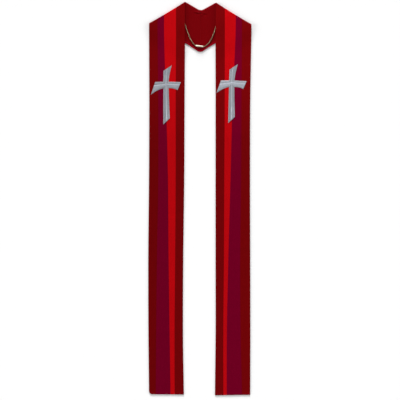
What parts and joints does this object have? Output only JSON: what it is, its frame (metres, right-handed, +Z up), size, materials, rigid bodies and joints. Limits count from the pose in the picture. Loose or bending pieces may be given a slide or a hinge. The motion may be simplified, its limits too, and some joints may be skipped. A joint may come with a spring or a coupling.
{
  "type": "clerical stole",
  "caption": "Striped clerical stole laid flat, its bands folded back over the shoulders, with a mitred back neck, a cross on each front and a light neck chain.",
  "frame": {"origin": "on the surface that the stole lies on, under the middle of its box", "axes": "+X across the bands, to the right as the stole is looked at, +Y along the bands towards the shoulders and neck, +Z up out of the surface"},
  "size_m": [0.3613, 1.3769, 0.0093],
  "materials": {
    "dark_red_cloth": "dark red slubbed weave",
    "plum_cloth": "plum slubbed weave",
    "bright_red_cloth": "bright red slubbed weave",
    "lining_cloth": "plain dark red lining, slight sheen",
    "silver_thread": "silver-grey satin stitch with a low lustre",
    "chain_metal": "dulled bronze",
    "sleeve_white": "smooth ivory white"
  },
  "bodies": {
    "root": {"left_outer_strip": "dark_red_cloth", "left_plum_strip": "plum_cloth", "left_bright_strip": "bright_red_cloth", "left_inner_strip": "dark_red_cloth", "left_lining": "lining_cloth", "left_cross": "silver_thread", "right_outer_strip": "dark_red_cloth", "right_plum_strip": "plum_cloth", "right_bright_strip": "bright_red_cloth", "right_inner_strip": "dark_red_cloth", "right_lining": "lining_cloth", "right_cross": "silver_thread", "chain": "chain_metal", "chain_sleeve": "sleeve_white", "chain_ring_left": "chain_metal", "chain_ring_right": "chain_metal"}
  },
  "joints": []
}
